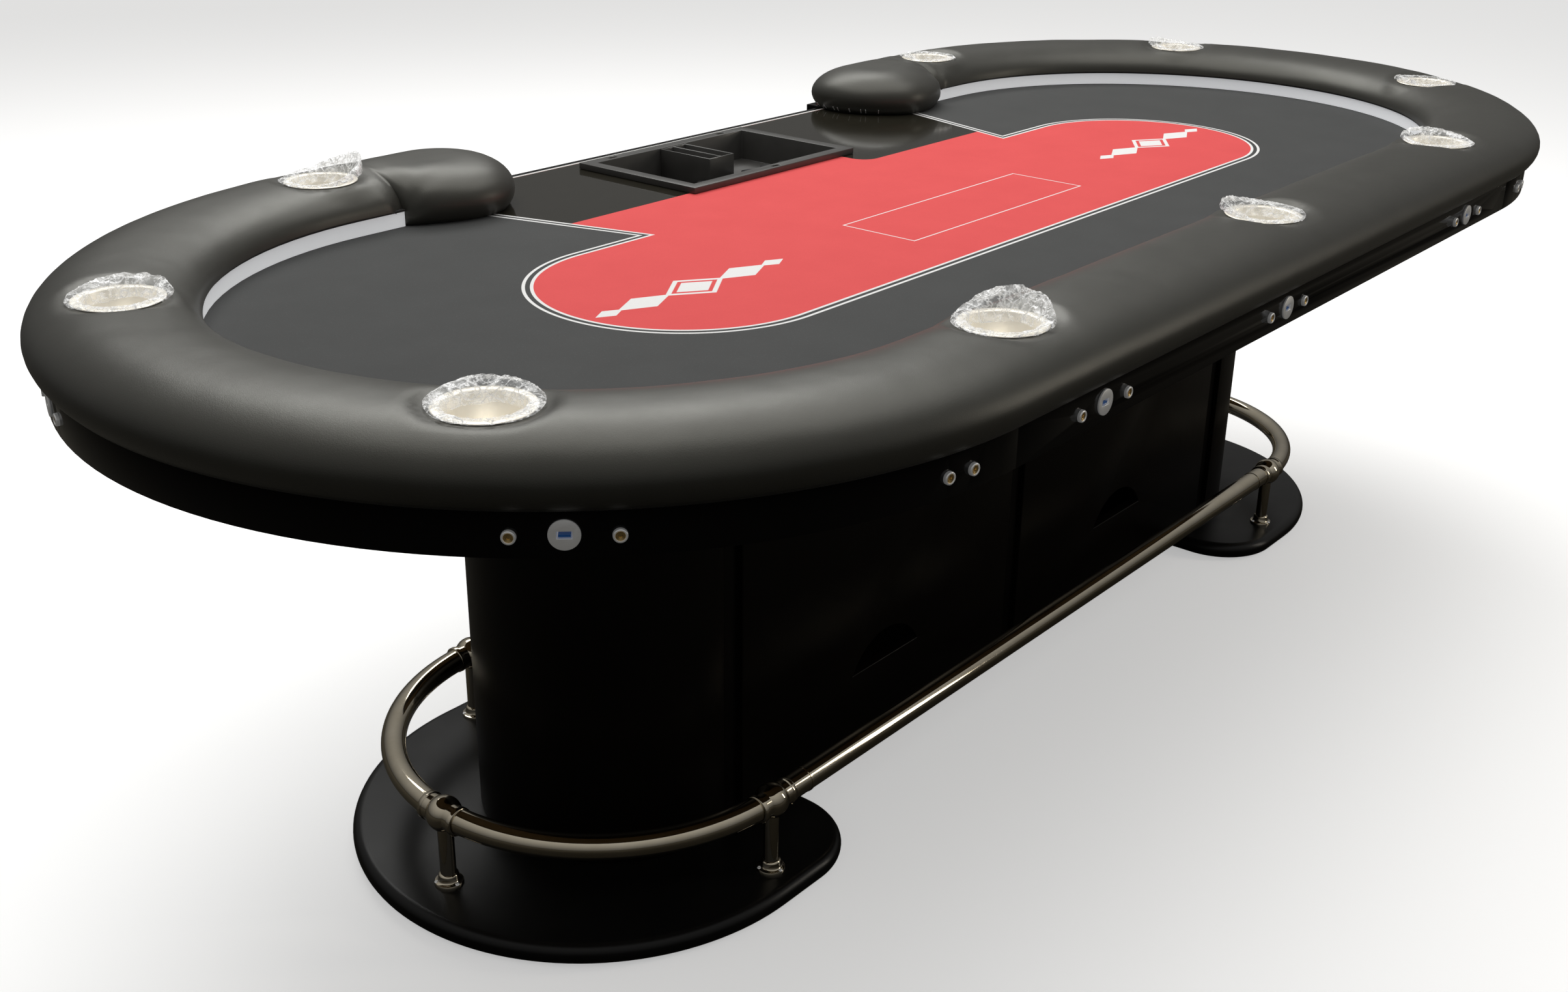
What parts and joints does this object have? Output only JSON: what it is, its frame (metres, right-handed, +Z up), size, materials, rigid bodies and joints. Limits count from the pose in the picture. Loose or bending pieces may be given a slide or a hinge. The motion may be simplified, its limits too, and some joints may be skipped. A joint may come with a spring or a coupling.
{
  "type": "poker table",
  "caption": "Oval card table with a padded rail, dealer's place with chip tray, drop-in cups, lit inner band, panelled pedestal on two plates and a polished foot rail.",
  "frame": {"origin": "on the floor under the middle of the oval top", "axes": "+X along the table to the dealer's left-hand end, +Y to the dealer's side, -Y to the players' long side, +Z up"},
  "size_m": [2.6356, 1.232, 0.782],
  "materials": {
    "laminate": "satin black laminate over board",
    "reveal": "dark recessed strip",
    "plate": "satin black",
    "glide": "matt",
    "ply": "raw plywood",
    "electrics": "satin grey case",
    "inlet": "black moulded",
    "wire": "black sleeve",
    "cloth": "printed charcoal and red speed cloth",
    "gloss": "polished black",
    "white": "white edging",
    "gloss_apron": "polished black laminate",
    "brass": "satin with a dished centre",
    "steel": "brushed",
    "blue": "blue moulded",
    "vinyl": "soft satin black vinyl over foam",
    "diffuser": "frosted white light diffuser",
    "tape": "light strip",
    "trim": "matt black",
    "tray": "satin black powder coat",
    "cup": "brushed inside, polished flange",
    "foot": "polished nickel"
  },
  "bodies": {
    "table": {"floor_glides": "glide", "base_plate_left": "plate", "base_plate_right": "plate", "pedestal_end_left": "laminate", "pedestal_end_right": "laminate", "bulkheads": "reveal", "panel_front_left": "laminate", "panel_front_right": "laminate", "panel_back_left": "laminate", "panel_back_right": "laminate", "pedestal_cleats": "ply", "power_supply": "electrics", "mains_inlet": "inlet", "wire_loom": "wire", "top_battens": "ply", "rim_frame_left": "ply", "rim_frame_right": "ply", "rim_frame_front": "ply", "top_board": "ply", "playing_cloth": "cloth", "gloss_panel_left": "gloss", "gloss_panel_right": "gloss", "dealer_edge_strip": "white", "apron_front": "gloss_apron", "apron_left": "gloss_apron", "apron_right": "gloss_apron", "apron_dealer": "gloss_apron", "connector_bolts": "brass", "usb_sockets": "steel", "usb_tongues": "blue", "rail_core_front": "ply", "rail_core_left": "ply", "rail_core_right": "ply", "rail_pad_front": "vinyl", "rail_pad_left": "vinyl", "rail_pad_right": "vinyl", "light_band": "diffuser", "light_tape": "tape", "rail_lip_trim": "trim", "foot_rail_front": "foot", "foot_rail_back": "foot", "foot_rail_bend_left": "foot", "foot_rail_bend_right": "foot", "foot_rail_balls": "foot", "foot_rail_posts": "foot", "foot_rail_flanges": "foot", "foot_rail_collars": "foot"},
    "tray": {"chip_tray": "tray", "chip_rack_left": "tray", "chip_rack_right": "tray", "coin_box": "tray"},
    "cup_front_left_cup": {"cup_front_left": "cup"},
    "cup_front_centre_cup": {"cup_front_centre": "cup"},
    "cup_front_right_cup": {"cup_front_right": "cup"},
    "cup_left_front_cup": {"cup_left_front": "cup"},
    "cup_left_back_cup": {"cup_left_back": "cup"},
    "cup_right_front_cup": {"cup_right_front": "cup"},
    "cup_right_back_cup": {"cup_right_back": "cup"},
    "cup_back_left_cup": {"cup_back_left": "cup"},
    "cup_back_right_cup": {"cup_back_right": "cup"}
  },
  "joints": [
    {"name": "tray_lift", "type": "slide", "parent": "table", "child": "tray", "axis": [0, 0, 1], "range_m": [0, 0.2]},
    {"name": "cup_front_left_lift", "type": "slide", "parent": "table", "child": "cup_front_left_cup", "axis": [0, 0, 1], "range_m": [0, 0.15]},
    {"name": "cup_front_centre_lift", "type": "slide", "parent": "table", "child": "cup_front_centre_cup", "axis": [0, 0, 1], "range_m": [0, 0.15]},
    {"name": "cup_front_right_lift", "type": "slide", "parent": "table", "child": "cup_front_right_cup", "axis": [0, 0, 1], "range_m": [0, 0.15]},
    {"name": "cup_left_front_lift", "type": "slide", "parent": "table", "child": "cup_left_front_cup", "axis": [0, 0, 1], "range_m": [0, 0.15]},
    {"name": "cup_left_back_lift", "type": "slide", "parent": "table", "child": "cup_left_back_cup", "axis": [0, 0, 1], "range_m": [0, 0.15]},
    {"name": "cup_right_front_lift", "type": "slide", "parent": "table", "child": "cup_right_front_cup", "axis": [0, 0, 1], "range_m": [0, 0.15]},
    {"name": "cup_right_back_lift", "type": "slide", "parent": "table", "child": "cup_right_back_cup", "axis": [0, 0, 1], "range_m": [0, 0.15]},
    {"name": "cup_back_left_lift", "type": "slide", "parent": "table", "child": "cup_back_left_cup", "axis": [0, 0, 1], "range_m": [0, 0.15]},
    {"name": "cup_back_right_lift", "type": "slide", "parent": "table", "child": "cup_back_right_cup", "axis": [0, 0, 1], "range_m": [0, 0.15]}
  ]
}
